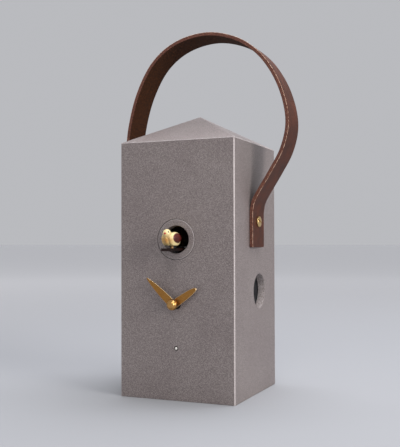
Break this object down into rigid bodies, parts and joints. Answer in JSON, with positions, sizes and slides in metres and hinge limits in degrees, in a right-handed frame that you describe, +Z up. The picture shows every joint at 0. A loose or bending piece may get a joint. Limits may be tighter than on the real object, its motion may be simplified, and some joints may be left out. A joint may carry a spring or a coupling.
{
  "type": "cuckoo clock",
  "caption": "Tall square lacquered cuckoo clock with a pyramid roof, a leather carrying strap, a round bird window and a battery movement behind a rear door.",
  "frame": {"origin": "middle of the case's underside", "axes": "+Z up, the dial and bird face -Y, the speaker is on the +X side"},
  "size_m": [0.2125, 0.1761, 0.4365],
  "materials": {
    "case_lacquer": "fine textured satin lacquer on board",
    "strap_leather": "vegetable tanned, waxed",
    "brass": "satin and polished",
    "steel": "zinc plated",
    "black_plastic": "moulded",
    "grey_plastic": "moulded",
    "white_plastic": "moulded",
    "raw_wood": "planed",
    "bird_cream": "painted",
    "bird_red": "painted",
    "perch_brown": "stained",
    "paper_cone": "pressed paper",
    "circuit_green": "solder mask",
    "battery_label": "plain printed sleeve",
    "sensor_lens": "clear moulded"
  },
  "bodies": {
    "case": {"front_panel": "case_lacquer", "side_panel_left": "case_lacquer", "side_panel_right": "case_lacquer", "bottom_panel": "case_lacquer", "roof": "case_lacquer", "rear_panel": "case_lacquer", "window_ring": "case_lacquer", "strap": "strap_leather", "strap_screw_left": "brass", "strap_screw_right": "brass", "gear_motor": "steel", "door_pin_lower": "steel", "door_pin_upper": "steel", "panel_screw_lower_left": "steel", "panel_screw_lower_right": "steel", "panel_screw_upper_left": "steel", "panel_screw_upper_right": "steel", "hanger_plate": "steel", "hanger_screw_left": "steel", "hanger_screw_right": "steel", "speaker_frame": "steel", "board_bracket": "steel", "movement_housing": "black_plastic", "movement_nut": "black_plastic", "sensor_holder": "black_plastic", "magnet_catch": "black_plastic", "battery_holder": "black_plastic", "movement_cover": "grey_plastic", "guide_frame": "grey_plastic", "step_motor": "white_plastic", "corner_block_left": "raw_wood", "corner_block_right": "raw_wood", "speaker_cone": "paper_cone", "circuit_board": "circuit_green", "battery_front": "battery_label", "battery_rear": "battery_label", "light_sensor": "sensor_lens"},
    "door": {"rear_door": "case_lacquer", "door_strike": "steel"},
    "minute_train": {"minute_arbor": "steel", "centre_wheel": "brass", "minute_hand": "brass", "hand_cap": "brass"},
    "hour_train": {"hour_wheel": "brass", "hour_hand": "brass"},
    "minute_wheel_body": {"minute_wheel": "white_plastic"},
    "third_body": {"third_wheel": "white_plastic"},
    "rotor_body": {"rotor_pinion": "white_plastic"},
    "setting_body": {"setting_knob": "black_plastic"},
    "bird": {"bird_body": "bird_cream", "bird_wing_left": "bird_red", "bird_wing_right": "bird_red", "bird_beak": "bird_red", "bird_leg": "raw_wood", "bird_carriage": "perch_brown"},
    "drive_body": {"drive_pinion": "white_plastic"},
    "switch_body": {"switch_lever": "white_plastic"},
    "volume_body": {"volume_knob": "black_plastic"}
  },
  "joints": [
    {"name": "minute_spin", "type": "hinge", "parent": "case", "child": "minute_train", "pos_m": [0, -0.06, 0.111], "axis": [0, 1, 0], "continuous": true},
    {"name": "hour_spin", "type": "hinge", "parent": "case", "child": "hour_train", "pos_m": [0, -0.06, 0.111], "axis": [0, 1, 0], "continuous": true},
    {"name": "minute_wheel_spin", "type": "hinge", "parent": "case", "child": "minute_wheel_body", "pos_m": [0, -0.059, 0.123], "axis": [0, 1, 0], "continuous": true},
    {"name": "third_wheel_spin", "type": "hinge", "parent": "case", "child": "third_body", "pos_m": [-0.01237, -0.056, 0.09863], "axis": [0, 1, 0], "continuous": true},
    {"name": "rotor_spin", "type": "hinge", "parent": "case", "child": "rotor_body", "pos_m": [0.00203, -0.054, 0.09863], "axis": [0, 1, 0], "continuous": true},
    {"name": "setting_spin", "type": "hinge", "parent": "case", "child": "setting_body", "pos_m": [0.01128, -0.05, 0.1271], "axis": [0, 1, 0], "continuous": true},
    {"name": "bird_slide", "type": "slide", "parent": "case", "child": "bird", "axis": [0, 1, 0], "range_m": [0, 0.038]},
    {"name": "drive_spin", "type": "hinge", "parent": "case", "child": "drive_body", "pos_m": [0, -0.02, 0.1647], "axis": [1, 0, 0], "range_deg": [-366, 1]},
    {"name": "door_hinge", "type": "hinge", "parent": "case", "child": "door", "pos_m": [-0.04, 0.068, 0.095], "axis": [0, 0, 1], "range_deg": [0, 90]},
    {"name": "switch_slide", "type": "slide", "parent": "case", "child": "switch_body", "axis": [1, 0, 0], "range_m": [0, 0.0049]},
    {"name": "volume_turn", "type": "hinge", "parent": "case", "child": "volume_body", "pos_m": [-0.032, 0.025, 0.085], "axis": [0, 1, 0], "range_deg": [-150, 150]}
  ],
  "couplings": [
    {"joint": "hour_spin", "follows": "minute_spin", "ratio": 0.083333},
    {"joint": "minute_wheel_spin", "follows": "minute_spin", "ratio": -0.33333},
    {"joint": "third_wheel_spin", "follows": "minute_spin", "ratio": -6},
    {"joint": "rotor_spin", "follows": "minute_spin", "ratio": 30},
    {"joint": "setting_spin", "follows": "minute_spin", "ratio": 1},
    {"joint": "drive_spin", "follows": "bird_slide", "rad_per_m": -166.67}
  ]
}
